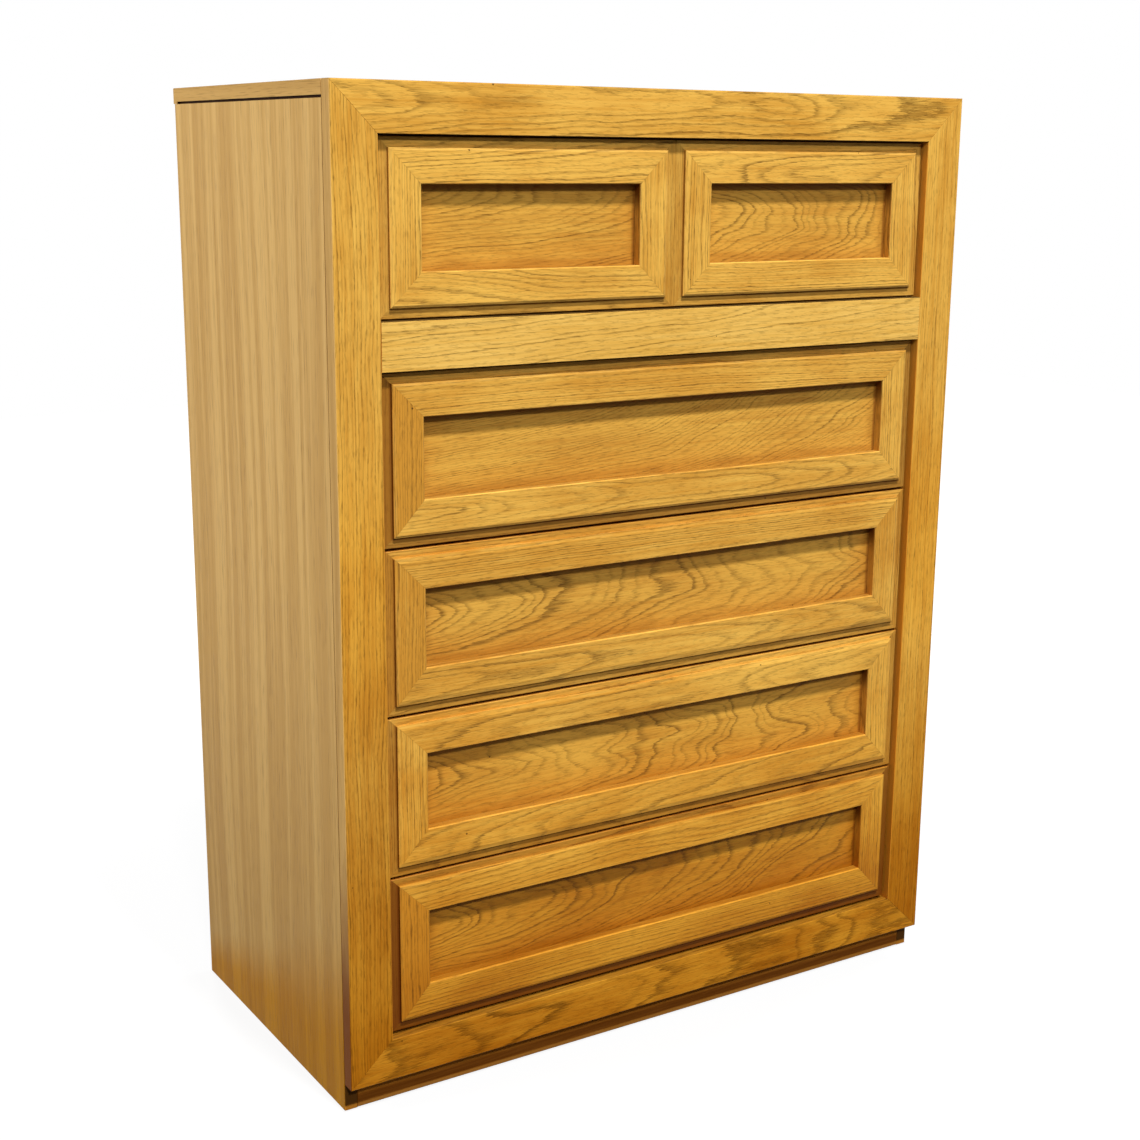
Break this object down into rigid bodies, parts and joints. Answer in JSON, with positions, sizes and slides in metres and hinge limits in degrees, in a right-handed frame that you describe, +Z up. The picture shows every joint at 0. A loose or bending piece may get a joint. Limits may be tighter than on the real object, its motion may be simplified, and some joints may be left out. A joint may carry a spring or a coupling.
{
  "type": "chest of drawers",
  "caption": "Tall golden oak chest of drawers with a mitred face frame, flush framed drawer fronts with sunk centre panels, dovetailed drawer boxes and a recessed toe board.",
  "frame": {"origin": "middle of the footprint on the floor", "axes": "+Z up, -Y out of the drawer fronts, +X to the right seen from the front"},
  "size_m": [0.965, 0.4984, 1.285],
  "materials": {
    "oak_front": "satin lacquer over golden stained oak with darker glaze in the corners",
    "oak_panel": "satin lacquer over golden stained oak veneer with cathedral figure",
    "oak_side": "satin lacquer over straight-grained oak veneer",
    "drawer_wood": "plain sanded secondary wood, thinly sealed",
    "hardboard": "smooth brown hardboard",
    "toe_stain": "dark brown stain"
  },
  "bodies": {
    "case": {"top_board": "oak_side", "side_panel_left": "oak_side", "side_panel_right": "oak_side", "face_stile_left": "oak_front", "face_stile_right": "oak_front", "face_rail_top": "oak_front", "face_rail_middle": "oak_front", "face_rail_bottom": "oak_front", "back_panel": "hardboard", "toe_board_front": "toe_stain", "toe_board_back": "drawer_wood", "dust_panel_1": "drawer_wood", "guide_1_left": "drawer_wood", "guide_1_right": "drawer_wood", "dust_panel_2": "drawer_wood", "guide_2_left": "drawer_wood", "guide_2_right": "drawer_wood", "dust_panel_3": "drawer_wood", "guide_3_left": "drawer_wood", "guide_3_right": "drawer_wood", "dust_panel_4": "drawer_wood", "guide_4_left": "drawer_wood", "guide_4_right": "drawer_wood", "dust_panel_5": "drawer_wood", "guide_5_left": "drawer_wood", "guide_5_right": "drawer_wood"},
    "drawer_1": {"drawer_1_front_frame": "oak_front", "drawer_1_panel_left": "oak_panel", "drawer_1_panel_right": "oak_panel", "drawer_1_side_left": "drawer_wood", "drawer_1_side_right": "drawer_wood", "drawer_1_back": "drawer_wood", "drawer_1_bottom": "hardboard"},
    "drawer_2": {"drawer_2_front_frame": "oak_front", "drawer_2_panel": "oak_panel", "drawer_2_side_left": "drawer_wood", "drawer_2_side_right": "drawer_wood", "drawer_2_back": "drawer_wood", "drawer_2_bottom": "hardboard"},
    "drawer_3": {"drawer_3_front_frame": "oak_front", "drawer_3_panel": "oak_panel", "drawer_3_side_left": "drawer_wood", "drawer_3_side_right": "drawer_wood", "drawer_3_back": "drawer_wood", "drawer_3_bottom": "hardboard"},
    "drawer_4": {"drawer_4_front_frame": "oak_front", "drawer_4_panel": "oak_panel", "drawer_4_side_left": "drawer_wood", "drawer_4_side_right": "drawer_wood", "drawer_4_back": "drawer_wood", "drawer_4_bottom": "hardboard"},
    "drawer_5": {"drawer_5_front_frame": "oak_front", "drawer_5_panel": "oak_panel", "drawer_5_side_left": "drawer_wood", "drawer_5_side_right": "drawer_wood", "drawer_5_back": "drawer_wood", "drawer_5_bottom": "hardboard"}
  },
  "joints": [
    {"name": "drawer_1_slide", "type": "slide", "parent": "case", "child": "drawer_1", "axis": [0, -1, 0], "range_m": [0, 0.36]},
    {"name": "drawer_2_slide", "type": "slide", "parent": "case", "child": "drawer_2", "axis": [0, -1, 0], "range_m": [0, 0.36]},
    {"name": "drawer_3_slide", "type": "slide", "parent": "case", "child": "drawer_3", "axis": [0, -1, 0], "range_m": [0, 0.36]},
    {"name": "drawer_4_slide", "type": "slide", "parent": "case", "child": "drawer_4", "axis": [0, -1, 0], "range_m": [0, 0.36]},
    {"name": "drawer_5_slide", "type": "slide", "parent": "case", "child": "drawer_5", "axis": [0, -1, 0], "range_m": [0, 0.36]}
  ]
}
